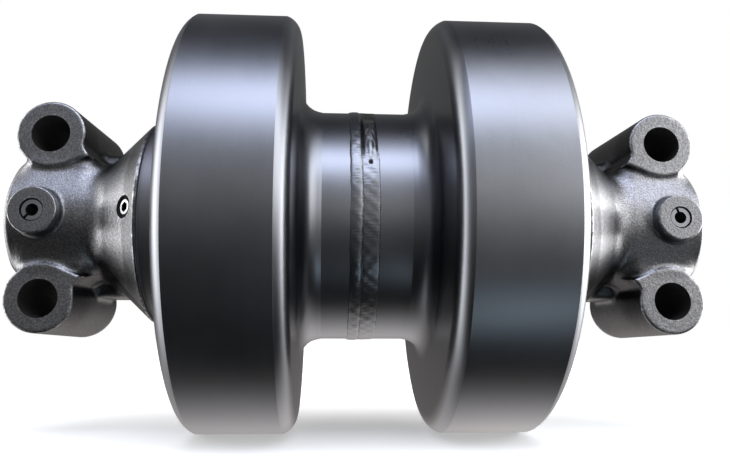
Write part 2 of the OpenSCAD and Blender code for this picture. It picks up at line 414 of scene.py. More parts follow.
def grid_faces(rows, columns):
    """Quads of a grid whose rows and columns both close on themselves."""
    i, j = np.meshgrid(np.arange(rows), np.arange(columns), indexing="ij")
    k, m = (i + 1) % rows, (j + 1) % columns
    corners = [i * columns + j, k * columns + j, k * columns + m, i * columns + m]
    return np.stack(corners, -1).reshape(-1, 4)


def outline(corners, radii, steps=7, support=0.5 * MM):
    """Rounds a closed outline: each corner becomes an arc tangent to both its sides, swept by
    slerp between the two tangent directions, with a support point just after and before it."""
    p = np.asarray(corners, float)
    radii = np.asarray(radii, float)[:, None]
    before = np.roll(p, 1, 0) - p
    after = np.roll(p, -1, 0) - p
    before /= np.linalg.norm(before, axis=1, keepdims=True)
    after /= np.linalg.norm(after, axis=1, keepdims=True)
    half = np.arccos(np.clip((before * after).sum(1, keepdims=True), -1, 1)) / 2
    middle = before + after
    middle /= np.linalg.norm(middle, axis=1, keepdims=True)
    centre = p + middle * radii / np.sin(half)
    start = p + before * radii / np.tan(half) - centre
    end = p + after * radii / np.tan(half) - centre
    sweep = (math.pi - 2 * half)[:, None]
    t = np.linspace(0, 1, steps)[None, :, None]
    arcs = np.sin((1 - t) * sweep) * start[:, None] + np.sin(t * sweep) * end[:, None]
    arcs = centre[:, None] + arcs / np.sin(sweep)
    gap = np.roll(arcs[:, 0], -1, 0) - arcs[:, -1]
    share = np.minimum(0.3, support / np.linalg.norm(gap, axis=1, keepdims=True))
    near = arcs[:, -1] + gap * share
    far = arcs[:, -1] + gap * (1 - share)
    return np.concatenate([arcs, near[:, None], far[:, None]], 1).reshape(-1, 2)


def turned(name, profile, segments, side=1):
    """Revolves a closed profile of (radius, length) about Y: (r cos t, side * length, r sin t)."""
    t = np.linspace(0, 2 * math.pi, segments, endpoint=False)[:, None]
    r, y = profile[None, :, 0], profile[None, :, 1]
    points = np.stack([r * np.cos(t), side * y + 0 * t, r * np.sin(t)], -1)
    return new_piece(name, points, grid_faces(segments, len(profile)))


def bar(name, start, end, radius, segments=96):
    """A closed round bar from start to end: two rings joined by quads, with flat ends."""
    start, end = np.array(start, float), np.array(end, float)
    axis = (end - start) / np.linalg.norm(end - start)
    u = np.cross(axis, (0, 0, 1) if abs(axis[2]) < 0.9 else (1, 0, 0))
    u /= np.linalg.norm(u)
    v = np.cross(axis, u)
    t = np.linspace(0, 2 * math.pi, segments, endpoint=False)[:, None]
    ring = radius * (np.cos(t) * u + np.sin(t) * v)
    mesh = bpy.data.meshes.new(name)
    i = np.arange(segments)
    j = (i + 1) % segments
    quads = np.stack([i, j, j + segments, i + segments], -1).tolist()
    caps = [i[::-1].tolist(), (i + segments).tolist()]
    mesh.from_pydata(np.concatenate([start + ring, end + ring]).tolist(), [], quads + caps)
    piece = bpy.data.objects.new(name, mesh)
    bpy.context.scene.collection.objects.link(piece)
    return piece


def boolean(piece, tools, operation):
    """Joins tools to a piece or cuts them from it, one after another, and removes the tools."""
    for tool in tools:
        change = piece.modifiers.new(tool.name, "BOOLEAN")
        change.operation = operation
        change.solver = "MANIFOLD"
        change.object = tool
    bpy.context.view_layer.update()
    before = measure(piece.data)
    evaluated = piece.evaluated_get(bpy.context.evaluated_depsgraph_get())
    mesh = bpy.data.meshes.new_from_object(evaluated)
    if abs(measure(mesh) - before) < 1e-4 * before:
        raise RuntimeError(f"{piece.name}: {operation} changed nothing")
    piece.modifiers.clear()
    piece.data = mesh
    for tool in tools:
        bpy.data.objects.remove(tool)


# ---------------------------------------------------------------- shell


def shell_profile(s):
    """Corners of a shell half as (radius, length) and the rounding of each."""
    wheel_in = s.gap / 2 / MM
    wheel_out = wheel_in + s.wheel / MM
    shelf_in = SEAL_LOW.y / MM - 0.1
    tread = TREAD_R / MM
    small = 0.3 * MM
    inner = 0.66 * s.inner_round / MM  # how much of the tread each rounding takes
    outer = 0.556 * s.outer_round / MM
    ramp = 13  # from where the fillet leaves the hub to the wheel
    relief = 1.2  # depth of the turned ring in the wheel's outer face
    body, seat = 34, 46  # clear of the axle's body, and where the halves meet
    shoulder = BUSH_HIGH.y / MM - 4
    points = [
        (seat, 0, small),
        (60, 0, small),
        (s.hub / MM, 6, small),
        (s.hub / MM, wheel_in - ramp, 0.4 * MM),
        (s.hub / MM + (ramp - 0.5) * math.tan(s.hub_crease), wheel_in - 0.5, s.hub_fillet),
        (tread - inner * math.tan(s.inner_crease), wheel_in + 0.5, s.inner_round),
        (tread, wheel_in + 0.5 + inner, 0.35 * MM),
        (tread, wheel_out - outer, 0.35 * MM),
        (tread - outer * math.tan(s.outer_crease), wheel_out, s.outer_round),
        (108, wheel_out, small),
        (108 - relief, wheel_out - relief, small),
        (s.spigot / MM + 14 + relief, wheel_out - relief, small),
        (s.spigot / MM + 14, wheel_out, small),
        (s.spigot / MM, wheel_out, 3 * MM),
        (s.spigot / MM, SPIGOT_END / MM, 0.8 * MM),
        (SEAL_HIGH.z / MM, SPIGOT_END / MM, small),
        (SEAL_HIGH.z / MM, shelf_in, small),
        (BUSH_HIGH.z / MM, shelf_in, small),
        (BUSH_HIGH.z / MM, shoulder, small),
        (body, shoulder, small),
        (body, 49, small),
        (seat, 43, 2 * MM),
    ]
    points = np.array(points)
    return outline(points[:, :2] * MM, points[:, 2], steps=9)


class ROLLER_OT_shell(bpy.types.Operator):
    """Turns both halves of the roller shell"""

    bl_idname = "roller.shell"
    bl_label = "Shell halves"

    def execute(self, context):
        s = context.scene.roller_shell
        steel = turned_steel()
        for word, side in SIDES:
            name = f"shell_{word}_turned"
            turned(name, shell_profile(s), s.segments, side)
            finished(name, "roller", [f"shell_{word}"], [steel], math.radians(40))
        return {"FINISHED"}


# ---------------------------------------------------------------- weld


def weld_surface(s, hub, around=1500, across=56):
    """Bead over the hub: two low passes side by side, the left one round, the right one flat, the
    higher of the two at each point. A pass is its rounded back times the rise, plus crescent
    ripples cos(arc / pitch + bend) and slow waves. Where the bead stops, a drop-shaped lump
    stands below a hollow, with a groove at each side and a pit. Each is exp(-(distance / size)
    to an even power), and all of it dies away at the bead's sides."""
    t = np.linspace(0, 2 * math.pi, around, endpoint=False)[:, None]
    v = np.linspace(0, 1, across)[None, :]
    wander = 0.3 * MM * (np.sin(9 * t + 1) + 0.6 * np.sin(23 * t) + 0.5 * np.sin(51 * t + 2)) / 2
    low = WELD_LOW.y + 0.3 * MM + wander
    high = WELD_HIGH.y - 0.3 * MM + 0.7 * wander
    y = low + (high - low) * v
    waves = np.sin(31 * t + 2) * np.sin(420 * y + 5 * t)
    waves = waves + np.sin(57 * t) * np.sin(800 * y + 9 * t)
    height = 0 * y
    for centre, half, share, flat, turn in WELD_PASSES:
        w = (y - centre * MM - 0.5 * wander) / (half * MM)
        back = np.sqrt(np.clip(1 - np.abs(w) ** (2 * flat), 0, 1))
        cycles = np.round(2 * math.pi * hub / s.pitch) * t + turn + 1.6 * w * w
        drift = 2.6 * np.sin(7 * t + turn) + 1.9 * np.sin(29 * t) + 1.3 * np.sin(83 * t + 3 * w)
        strength = 0.75 + 0.6 * np.sin(13 * t + turn) * np.sin(37 * t + 2 * w)
        ripples = strength * np.cos(cycles + drift) + 3.2 * waves
        height = np.maximum(height, back * (s.rise * share + s.ripple * ripples))

    def along(angle):
        """Angle past a place round the hub, which is itself an angle past the crater."""
        return (t - s.crater_at - angle + math.pi) % (2 * math.pi) - math.pi

    beside = y / MM - WELD_PASSES[1][0]
    narrow = 2.5 + 7.0 * np.clip(along(0), -0.3, 0.1)
    drop = np.exp(-((along(0) / 0.2) ** 4) - (np.abs(beside) / np.clip(narrow, 1.2, 3.2)) ** 2.2)
    drop = drop * (1 + 0.12 * np.cos(55 * along(0) + 0.5 * beside**2))
    hollow = np.exp(-((along(0.43) / 0.17) ** 4) - (beside / 4.0) ** 4)
    grooves = np.exp(-((along(0.06) / 0.24) ** 4) - ((np.abs(beside) - 4.0) / 0.8) ** 2)
    pit = np.exp(-((along(-0.28) / 0.014) ** 2) - (beside / 0.8) ** 2)
    toe = np.exp(-(((y - low) / (0.5 * MM)) ** 2)) * np.clip(np.sin(t * 0.5 + 2.4) * 1.5, 0.15, 1)
    height = height + 1.2 * MM * drop - 1.5 * MM * hollow - 1.3 * MM * grooves - 1.1 * MM * pit
    height = height - 0.5 * MM * toe
    fade = np.clip(np.sin(math.pi * v), 0, 1) ** 0.25
    r = hub + np.clip(height, WELD_DEEPEST, WELD_TALLEST) * fade
    top = np.stack([r * np.cos(t), y, r * np.sin(t)], -1)
    root = np.array([(hub - 1.2 * MM, 6 * MM), (hub - 10 * MM, 0), (hub - 1.2 * MM, -6 * MM)])
    under = [np.stack([a * np.cos(t), b + 0 * t, a * np.sin(t)], -1) for a, b in root]
    return np.concatenate([top, *under], 1)


class ROLLER_OT_weld(bpy.types.Operator):
    """Lays the rippled weld bead round the hub"""

    bl_idname = "roller.weld"
    bl_label = "Weld bead"

    def execute(self, context):
        name = "weld_bead_rippled"
        points = weld_surface(context.scene.roller_weld, context.scene.roller_shell.hub)
        new_piece(name, points, grid_faces(*points.shape[:2]))
        finished(name, "roller", ["weld_bead"], [weld_metal()], math.radians(60))
        return {"FINISHED"}


# ---------------------------------------------------------------- collars


def rod(along, across, low, high, radius, edge):
    """Distance to a round bar: how far past its ends and its radius, less its edge rounding."""
    a = np.abs(along - (low + high) / 2) - (high - low) / 2 + edge
    b = across - radius + edge
    return np.minimum(np.maximum(a, b), 0) + np.hypot(np.maximum(a, 0), np.maximum(b, 0)) - edge


def block(place, corners, edge):
    """Distance to a box with rounded edges, from its opposite corners in mm: the length of how
    far each axis is past its side."""
    sides = [((a + b) / 2 * MM, (b - a) / 2 * MM) for a, b in zip(*corners)]
    past = [np.abs(p - middle) - half + edge for p, (middle, half) in zip(place, sides)]
    outside = np.sqrt(sum(np.maximum(p, 0) ** 2 for p in past))
    return outside + np.minimum(np.maximum.reduce(past), 0) - edge


def join(a, b, fillet):
    """The nearer of two distances, less h * h * fillet / 4 where they are within a fillet."""
    h = np.maximum(fillet - np.abs(a - b), 0) / fillet
    return np.minimum(a, b) - h * h * fillet / 4


def cut(a, b, fillet):
    """What is left of a without b, with a rounded edge."""
    return -join(-a, b, fillet)


def half_planes(u, v, corners):
    """Distance to a convex outline: how far past the furthest of its sides."""
    worst = -1e9
    for (ax, ay), (bx, by) in zip(corners, corners[1:] + corners[:1]):
        long = math.hypot(bx - ax, by - ay)
        worst = np.maximum(worst, ((u - ax) * (ay - by) + (v - ay) * (bx - ax)) / long)
    return worst


def plug_mouth(s):
    """Middle of the plug's mouth on the left flare, and the direction it faces, square to it."""
    tilt = math.atan(FLARE)
    out = np.array([math.cos(tilt), -math.sin(tilt), 0])
    return np.array([PLUG_MOUTH_R, -(s.rim + (RIM_R - PLUG_MOUTH_R) / FLARE), 0]), out


def casting(x, y, z, s):
    """Distance to the raw casting of the right collar: barrel, flare, bolt columns with pads,
    web, base block and pin boss, joined by fillets, with a hollow cast into the back. The
    columns have draft, and a pointed foot towards the wheel."""
    rho = np.hypot(x, z)
    start = s.rim - 0.6 * MM
    flare = (rho - RIM_R - (s.rim - y) * FLARE) / math.hypot(1, FLARE)
    flare = np.maximum.reduce([flare, start - y, rho - RIM_R + 0.15 * MM])
    body = rod(y, rho, start, s.barrel_end, s.barrel, 3 * MM)
    body = join(body, flare, s.fillet)
    place = (x, y, z)
    body = join(body, block(place, WEB, 9 * MM), 7 * MM)
    body = join(body, block(place, BASE, 7 * MM), s.fillet)
    rough_end = PAD_X - 2 * MM
    draft = (s.seat - x) * 0.026
    across = np.hypot(y - BOLT_Y, np.abs(z) - BOLT_Z) - s.column - draft
    skirt = half_planes((y - BOLT_Y) / MM, (np.abs(z) - BOLT_Z) / MM, SKIRT) * MM
    skirt = np.maximum(skirt, -4 * MM - x)
    column = rod(x, join(across, skirt, 2 * MM), rough_end, s.seat, 0, 1.3 * MM)
    body = join(body, column, 0.8 * s.fillet)
    boss = rod(x, np.hypot(y - PIN_Y, z), 20 * MM, s.pin_face, s.pin_boss, 1.0 * MM)
    body = join(body, boss, 2.4 * MM)
    return cut(body, block(place, HOLLOW, 4 * MM), 4 * MM)


def surface_net(field, low, step):
    """Surface of a distance field on a grid: one point in each cell that the surface crosses, at
    the mean of the crossings on the cell's edges, and one quad round each crossed grid edge."""
    inside = field < 0
    cells = np.zeros(np.array(field.shape) - 1, np.int8)
    corners = np.array([(i, j, k) for i in (0, 1) for j in (0, 1) for k in (0, 1)])
    nx, ny, nz = cells.shape
    for i, j, k in corners:
        cells += inside[i : i + nx, j : j + ny, k : k + nz]
    active = np.argwhere((cells > 0) & (cells < 8))
    values = np.stack([field[tuple((active + c).T)] for c in corners], 1)
    total = np.zeros((len(active), 3))
    count = np.zeros((len(active), 1))
    pairs = [(a, b) for a in range(8) for b in range(a)]
    for a, b in pairs:
        if np.abs(corners[a] - corners[b]).sum() != 1:
            continue
        crossed = (values[:, a] < 0) != (values[:, b] < 0)
        share = np.where(crossed, values[:, a] / (values[:, a] - values[:, b] + 1e-30), 0)
        where = corners[a] + share[:, None] * (corners[b] - corners[a])
        total += np.where(crossed[:, None], where, 0)
        count += crossed[:, None]
    points = np.array(low) + (active + total / count) * step
    number = np.full(cells.shape, -1)
    number[tuple(active.T)] = np.arange(len(active))
    faces = []
    for axis in range(3):
        u, v = (axis + 1) % 3, (axis + 2) % 3
        first = np.take(inside, np.arange(inside.shape[axis] - 1), axis)
        second = np.take(inside, np.arange(1, inside.shape[axis]), axis)
        edge = np.argwhere(first != second)
        edge = edge[(edge[:, u] > 0) & (edge[:, v] > 0)]
        quad = []
        for du, dv in ((1, 1), (0, 1), (0, 0), (1, 0)):
            cell = edge.copy()
            cell[:, u] -= du
            cell[:, v] -= dv
            quad.append(number[tuple(cell.T)])
        quad = np.stack(quad, 1)
        starts_inside = first[tuple(edge.T)]
        faces.append(np.where(starts_inside[:, None], quad, quad[:, ::-1]))
    return points, np.concatenate(faces)


def settle(points, field, step, rounds=3):
    """Moves points onto the surface: each goes back along the gradient by the distance there."""
    h = step * 0.25
    for _ in range(rounds):
        slopes = []
        for axis in range(3):
            offset = np.zeros(3)
            offset[axis] = h
            slopes.append(field(*(points + offset).T) - field(*(points - offset).T))
        slopes = np.stack(slopes, 1) / (2 * h)
        size = np.maximum((slopes**2).sum(1, keepdims=True), 0.2)
        points = points - np.clip(field(*points.T)[:, None] * slopes / size, -step / 2, step / 2)
    return points


def turned_core(s, side):
    """The machined inner end of a collar: rim, register, seal seat and nose."""
    small = 0.25 * MM
    seat_r, seat_end = SEAL_HIGH.z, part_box("toric_fixed_right")[1].y + 0.1 * MM
    nose_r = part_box("seal_fixed_right")[1].x - 9 * MM
    inner = 24 * MM  # the borer takes it to size
    points = [
        (inner, NOSE_END, small),
        (nose_r, NOSE_END, 0.5 * MM),
        (nose_r, seat_end, small),
        (seat_r, seat_end, small),
        (seat_r, SPIGOT_END + 1 * MM, small),
        (s.register, SPIGOT_END + 1 * MM, 0.7 * MM),
        (s.register, s.rim - 1.3 * MM, small),
        (RIM_R, s.rim - 1.3 * MM, small),
        (RIM_R, s.rim, 0.3 * MM),
        (52 * MM, s.rim + 4 * MM, small),
        (inner, s.rim + 4 * MM, small),
    ]
    points = np.array(points)
    return turned(f"core_{side}", outline(points[:, :2], points[:, 2], steps=5), 144, side)


class ROLLER_OT_collars(bpy.types.Operator):
    """Casts both end collars, then machines their bores, pads, seats and registers"""

    bl_idname = "roller.collars"
    bl_label = "End collars"

    def execute(self, context):
        s = context.scene.roller_collar
        step = s.step
        low = (COLLAR_LOW.x - 3 * MM, s.rim - 3 * MM, COLLAR_LOW.z - 3 * MM)
        high = (RIM_R + 3 * MM, COLLAR_HIGH.y + 3 * MM, COLLAR_HIGH.z + 3 * MM)
        axes = [np.arange(a, b, step) for a, b in zip(low, high)]

        def field(x, y, z):
            return casting(x, y, z, s)

        grid = field(*np.meshgrid(*axes, indexing="ij"))
        points, faces = surface_net(grid, low, step)
        points = settle(points, field, step)
        metal = cast_steel()
        for word, side in SIDES:
            name, node = f"collar_{word}_cast", f"collar_{word}"
            piece = new_piece(name, points * (1, side, 1), faces)
            boolean(piece, [turned_core(s, side)], "UNION")
            boolean(piece, self.cutters(s, side), "DIFFERENCE")
            angle = math.radians(34)
            finished(name, "frame_side", [node], [metal], angle, step)
        return {"FINISHED"}

    @staticmethod
    def cutters(s, side):
        """Drills, borer and face mill for one collar, and the plug's pocket on the left one."""
        y, pin_y = side * BOLT_Y, side * PIN_Y
        back, front, milled = PAD_X * 2, 100 * MM, PAD_X - 6 * MM
        tools = [
            bar("bolt_drill_low", (back, y, -BOLT_Z), (front, y, -BOLT_Z), BOLT_R),
            bar("bolt_drill_high", (back, y, BOLT_Z), (front, y, BOLT_Z), BOLT_R),
            bar("pin_drill", (back, pin_y, 0), (front, pin_y, 0), PIN_R, 64),
            bar("borer", (0, side * 90 * MM, 0), (0, side * 250 * MM, 0), BORE_R, 144),
            bar("mill_low", (PAD_X, y, -BOLT_Z), (milled, y, -BOLT_Z), PAD_R + 3 * MM),
            bar("mill_high", (PAD_X, y, BOLT_Z), (milled, y, BOLT_Z), PAD_R + 3 * MM),
        ]
        if side < 0:
            mouth, out = plug_mouth(s)
            inward, outward = mouth - out * 3 * MM, mouth + out * 9 * MM
            tools.append(bar("plug_pocket", inward, outward, POCKET_R, 64))
            tools.append(bar("plug_drill", mouth - out * 12 * MM, mouth, PLUG_DRILL_R, 64))
        return tools


# ---------------------------------------------------------------- finishes


class Socket:
    """A node's output with arithmetic: each operator adds a Math node."""

    def __init__(self, nodes, link):
        self.nodes = nodes
        self.link = link

    def _math(self, operation, *others):
        return self.nodes.add("ShaderNodeMath", {"operation": operation}, (self, *others))

    def __add__(self, other):
        return self._math("ADD", other)

    def __sub__(self, other):
        return self._math("SUBTRACT", other)

    def __rsub__(self, other):
        return self.nodes.add("ShaderNodeMath", {"operation": "SUBTRACT"}, (other, self))

    def __mul__(self, other):
        return self._math("MULTIPLY", other)

    def __truediv__(self, other):
        return self._math("DIVIDE", other)

    def __pow__(self, other):
        return self._math("POWER", other)

    def __rpow__(self, other):
        return self.nodes.add("ShaderNodeMath", {"operation": "POWER"}, (other, self))

    def __abs__(self):
        return self._math("ABSOLUTE")

    __radd__ = __add__
    __rmul__ = __mul__

    def step(self, low, high):
        """0 below low, 1 above high, smooth between."""
        settings = {"interpolation_type": "SMOOTHSTEP"}
        inputs = {0: self, 1: low, 2: high, 3: 0, 4: 1}
        return self.nodes.add("ShaderNodeMapRange", settings, inputs)

    def bell(self, centre, width):
        """1 at the centre, less to both sides: e to the minus (distance / width) squared."""
        off = (self - centre) / width
        return math.e ** (off * off * -1.0)


class Nodes:
    """Builds a node tree from Python expressions."""

    def __init__(self, tree):
        self.tree = tree
        tree.nodes.clear()

    def add(self, kind, settings=None, inputs=(), out=0):
        """Adds a node, sets its settings, then gives its sockets their values or links."""
        node = self.tree.nodes.new(kind)
        for key, value in (settings or {}).items():
            setattr(node, key, value)
        pairs = inputs.items() if isinstance(inputs, dict) else enumerate(inputs)
        for key, value in pairs:
            if isinstance(value, Socket):
                self.tree.links.new(value.link, node.inputs[key])
            else:
                node.inputs[key].default_value = value
        return Socket(self, node.outputs[out]) if node.outputs else node

    def place(self):
        """Object coordinates, whole and as x, y and z."""
        whole = self.add("ShaderNodeTexCoord", out="Object")
        return whole, [self.add("ShaderNodeSeparateXYZ", {}, (whole,), out=i) for i in range(3)]

    def attribute(self, name):
        """One of the mesh's own values."""
        return self.add("ShaderNodeAttribute", {"attribute_name": name}, out="Fac")

    def largest(self, a, b):
        """The larger of two values."""
        return self.add("ShaderNodeMath", {"operation": "MAXIMUM"}, (a, b))

    def noise(self, vector, scale, detail=2.0, rough=0.5, **settings):
        """Noise of a given scale, 0 to 1."""
        inputs = {"Vector": vector, "Scale": scale, "Detail": detail, "Roughness": rough}
        return self.add("ShaderNodeTexNoise", settings, inputs)

    def blend(self, share, a, b):
        """Colour a, going over to b with share."""
        a, b = (c if isinstance(c, Socket) else (*c, 1) for c in (a, b))
        return self.add("ShaderNodeMix", {"data_type": "RGBA"}, {0: share, 6: a, 7: b}, out=2)

    def vector(self, x, y, z):
        """A vector from three values."""
        return self.add("ShaderNodeCombineXYZ", {}, (x, y, z))

    def scaled(self, colour, value):
        """A colour times a value."""
        inputs = (colour if isinstance(colour, Socket) else tuple(colour), self.vector(*[value] * 3))
        return self.add("ShaderNodeVectorMath", {"operation": "MULTIPLY"}, inputs)

    def lathe(self, rho, y, scale, detail):
        """Fine lines round the axle: noise of the radius and the length alone."""
        where = self.vector(rho, y, 0.0)
        return self.noise(where, scale, detail, 0.6, noise_dimensions="2D")

    def surface(self, **sockets):
        """Ends a material in a Principled shader. Bump is a height in millimetres."""
        height = sockets.pop("bump", None)
        inputs = {k.replace("_", " "): v for k, v in sockets.items()}
        if height is not None:
            settings = {"Strength": 1.0, "Distance": MM, "Height": height}
            inputs["Normal"] = self.add("ShaderNodeBump", {}, settings)
        shader = self.add("ShaderNodeBsdfPrincipled", {}, inputs)
        self.add("ShaderNodeOutputMaterial", {}, (shader,))


def material(name):
    """A new material and the builder of its nodes."""
    made = bpy.data.materials.new(name)
    made.use_nodes = True
    return made, Nodes(made.node_tree)


def from_plug(x, y, z):
    """A place as seen from the fill plug: how far out of its mouth, and how far from its axis."""
    mouth, out = plug_mouth(bpy.context.scene.roller_collar)
    rise = (x - mouth[0]) * out[0] + (y - mouth[1]) * out[1]
    aside = ((x - mouth[0]) ** 2 + (y - mouth[1]) ** 2 + z * z - rise * rise) ** 0.5
    return rise, aside


def turned_steel():
    """Dark satin steel: fine grain, faint lathe lines round the axle, patches of oil film, edges
    brightened by wear and a painted highlight, and painted shade on the faces between the wheels."""
    made, n = material("turned_steel")
    colour = bpy.context.scene.roller_finish.turned
    whole, (x, y, z) = n.place()
    rho = (x * x + z * z) ** 0.5
    lines = n.lathe(rho, y, 1500.0, 3.0)
    patches = n.noise(whole, 22.0, 4.0, 0.6)
    grit = n.noise(whole, 1300.0, 2.0, 0.6)
    # Edges brightened partly by wear and partly as a painted highlight.
    wear_and_highlight = n.attribute("edge").step(0.35, 1.0) * n.noise(whole, 180.0, 3.0, 0.6).step(0.3, 0.6)
    # Painted shade: the inner faces and fillets between the wheels are darkened by half.
    channel_shade = (1 - abs(y).step(38.2 * MM, 41 * MM)) * rho.step(70.2 * MM, 76 * MM)
    shade = (0.76 + patches * 0.34 + lines * 0.05 + grit * 0.12) * (1 - channel_shade * 0.5)
    rough = 0.20 + patches * 0.10 + lines * 0.03 + grit * 0.08
    n.surface(
        Base_Color=n.blend(wear_and_highlight * 0.5, n.scaled(colour, shade), (0.62, 0.62, 0.63)),
        Metallic=1.0,
        Roughness=rough,
        bump=lines * 0.005 + grit * 0.012,
    )
    return made


def cast_steel():
    """Shot-blasted casting with edges brightened by wear and a painted highlight, a painted
    highlight line round the rim, and painted black shade in its corners, bolt drillings and plug
    pocket; bright machined pads and bore, and a dark turned register. It is smoother on the flare's
    rim, where it is also painted darker as shade, and painted shade darkens the columns' flanks and
    the casting under the rim."""
    made, n = material("cast_steel")
    scene = bpy.context.scene
    rim = scene.roller_collar.rim
    whole, (x, y, z) = n.place()
    rho = (x * x + z * z) ** 0.5
    far, high = abs(y), abs(z)
    off_bolt = ((far - BOLT_Y) ** 2 + (high - BOLT_Z) ** 2) ** 0.5
    behind_seat = 1 - x.step(27.5 * MM, 29 * MM)

    pads = 1 - x.step(PAD_X + 0.05 * MM, PAD_X + 0.15 * MM)
    register = 1 - far.step(rim - 1.25 * MM, rim - 1.1 * MM)
    bored = 1 - rho.step(BORE_R + 0.08 * MM, BORE_R + 0.38 * MM)
    machined = n.largest(n.largest(pads, register), bored)
    # Painted shade: the plug pocket and the bolt drillings are painted near black, rough and not
    # metallic.
    pocket = 1 - from_plug(x, y, z)[1].step(POCKET_R + 0.05 * MM, POCKET_R + 0.35 * MM)
    hole_shade = n.largest(1 - off_bolt.step(BOLT_R + 0.05 * MM, BOLT_R + 0.2 * MM), pocket)
    # Painted highlight: a bright line round the rim's edge, broken up like the wear.
    rim_highlight = rho.step(RIM_R - 0.75 * MM, RIM_R - 0.3 * MM)
    rim_highlight = rim_highlight * (1 - far.step(rim + 1 * MM, rim + 1.5 * MM))
    # Painted shade: the columns' flanks next to the barrel are darkened by up to 70 percent.
    near = high.step(25 * MM, 36 * MM) * (1 - far.step(163 * MM, 176 * MM)) * behind_seat
    flank_shade = near * n.largest(z.step(-10 * MM, 10 * MM), 0.7 + x.step(-6 * MM, 14 * MM) * 0.5)
    # Painted shade: the casting low down under the lower columns is darker, and also rougher with
    # less relief.
    under = (1 - z.step(-72 * MM, -46 * MM)) * behind_seat * x.step(PAD_X, PAD_X + 5 * MM)
    # The band next to the rim is smoother, and is also painted darker as shade.
    smooth = (1 - far.step(131.5 * MM, 134.0 * MM)) * (1 - machined)

    settings = {"Vector": whole, "Scale": 620.0, "Smoothness": 0.6}
    pits = n.add("ShaderNodeTexVoronoi", {"feature": "SMOOTH_F1"}, settings)
    grain = n.noise(whole, 700.0, 3.0, 0.65)
    lumps = n.noise(whole, 60.0, 3.0, 0.5)
    patches = n.noise(whole, 30.0, 3.0, 0.6)
    lines = n.lathe(rho, y, 1500.0, 3.0)
    speckle = n.noise(whole, 1200.0, 2.0, 0.7).step(0.4, 0.64)
    broken = n.noise(whole, 260.0, 4.0, 0.65).step(0.42, 0.64)
    # Edges brightened partly by wear and partly as a painted highlight, together with the rim's
    # painted highlight.
    wear_and_highlight = n.largest(n.attribute("edge").step(0.24, 0.6) * (1 - machined), rim_highlight) * broken
    # Painted shade: concave corners are darkened towards black.
    crevice_shade = n.attribute("nook").step(0.2, 0.8) * 0.45

    shade = (1 - smooth * 0.42) * (1 - flank_shade * 0.7) * (1 - under * 0.5)
    shade = shade * (0.42 + patches * 0.3 + grain * 0.3 + speckle * 0.6)
    raw = n.scaled(scene.roller_finish.cast, shade)
    # Painted highlight and wear: the edges go over to light grey.
    worn_and_highlit = n.blend(wear_and_highlight * 0.62, raw, (0.70, 0.70, 0.72))
    # Painted shade: concave corners, bolt drillings and the plug pocket go near black.
    shade_darkened = n.blend(n.largest(crevice_shade, hole_shade), worn_and_highlit, (0.012, 0.011, 0.01))
    clean = n.blend(register, (0.42, 0.42, 0.44), (0.25, 0.25, 0.26))
    clean = n.scaled(clean, 0.8 + patches * 0.2 + lines * 0.2)
    rough = 0.28 + grain * 0.12 - wear_and_highlight * 0.05 + hole_shade * 0.5 + under * 0.2
    relief = (1 - smooth * 0.55) * (1 - under * 0.6) * (pits * 0.05 + grain * 0.14 + lumps * 0.1)
    n.surface(
        Base_Color=n.blend(machined, shade_darkened, clean),
        Metallic=1 - hole_shade * (1 - machined),
        Roughness=(1 - machined) * rough + machined * 0.3 + register * 0.16,
        bump=(1 - machined) * relief + machined * lines * 0.006,
    )
    return made


def weld_metal():
    """Arc weld: the shell's own grey with fine grit, broken painted shade in its toes and folds, and
    painted black shade below the hub."""
    made, n = material("weld_metal")
    colour = bpy.context.scene.roller_finish.weld
    whole, (x, y, z) = n.place()
    above = (x * x + z * z) ** 0.5 - bpy.context.scene.roller_shell.hub
    # Painted shade: the toes, the folds and all that sinks below the hub are darkened towards black.
    toes = 1 - above.step(-0.1 * MM, 0.22 * MM)
    broken = n.noise(whole, 330.0, 3.0, 0.6).step(0.36, 0.56)
    crevice_shade = n.largest(toes, n.attribute("nook").step(0.2, 0.8)) * (0.15 + broken * 0.6)
    crevice_shade = n.largest(crevice_shade, 1 - above.step(-0.6 * MM, -0.2 * MM))
    grit = n.noise(whole, 700.0, 3.0, 0.6)
    patches = n.noise(whole, 60.0, 3.0, 0.6)
    base = n.scaled(colour, 0.8 + patches * 0.4)
    n.surface(
        Base_Color=n.blend(crevice_shade * 0.92, base, (0.03, 0.03, 0.032)),
        Metallic=1.0,
        Roughness=0.22 + grit * 0.14,
        bump=grit * 0.05,
    )
    return made


def plain_metal(name, colour, rough, grit_height):
    """A small metal part: fine grit in its colour, gloss and surface."""
    made, n = material(name)
    whole, _ = n.place()
    grit = n.noise(whole, 1100.0, 3.0, 0.6)
    patches = n.noise(whole, 90.0, 3.0, 0.6)
    n.surface(
        Base_Color=n.scaled(colour, 0.85 + patches * 0.2 + grit * 0.1),
        Metallic=1.0,
        Roughness=rough + grit * 0.12,
        bump=grit * grit_height,
    )
    return made


def ground_steel():
    """Ground axle and lapped seal rings: fine lines round the axle."""
    made, n = material("ground_steel")
    colour = bpy.context.scene.roller_finish.ground
    whole, (x, y, z) = n.place()
    lines = n.lathe((x * x + z * z) ** 0.5, y, 2200.0, 2.0)
    patches = n.noise(whole, 50.0, 3.0, 0.6)
    n.surface(
        Base_Color=n.scaled(colour, 0.75 + lines * 0.2 + patches * 0.25),
        Metallic=1.0,
        Roughness=0.22 + lines * 0.15 + patches * 0.06,
        bump=lines * 0.008,
    )
    return made


def soft_rubber():
    """Matt black rubber with a faint bloom."""
    made, n = material("soft_rubber")
    whole, _ = n.place()
    bloom = n.noise(whole, 120.0, 4.0, 0.6)
    n.surface(
        Base_Color=n.scaled(bpy.context.scene.roller_finish.rubber, 0.7 + bloom * 0.9),
        Roughness=0.5 + bloom * 0.25,
        bump=bloom * 0.03,
    )
    return made


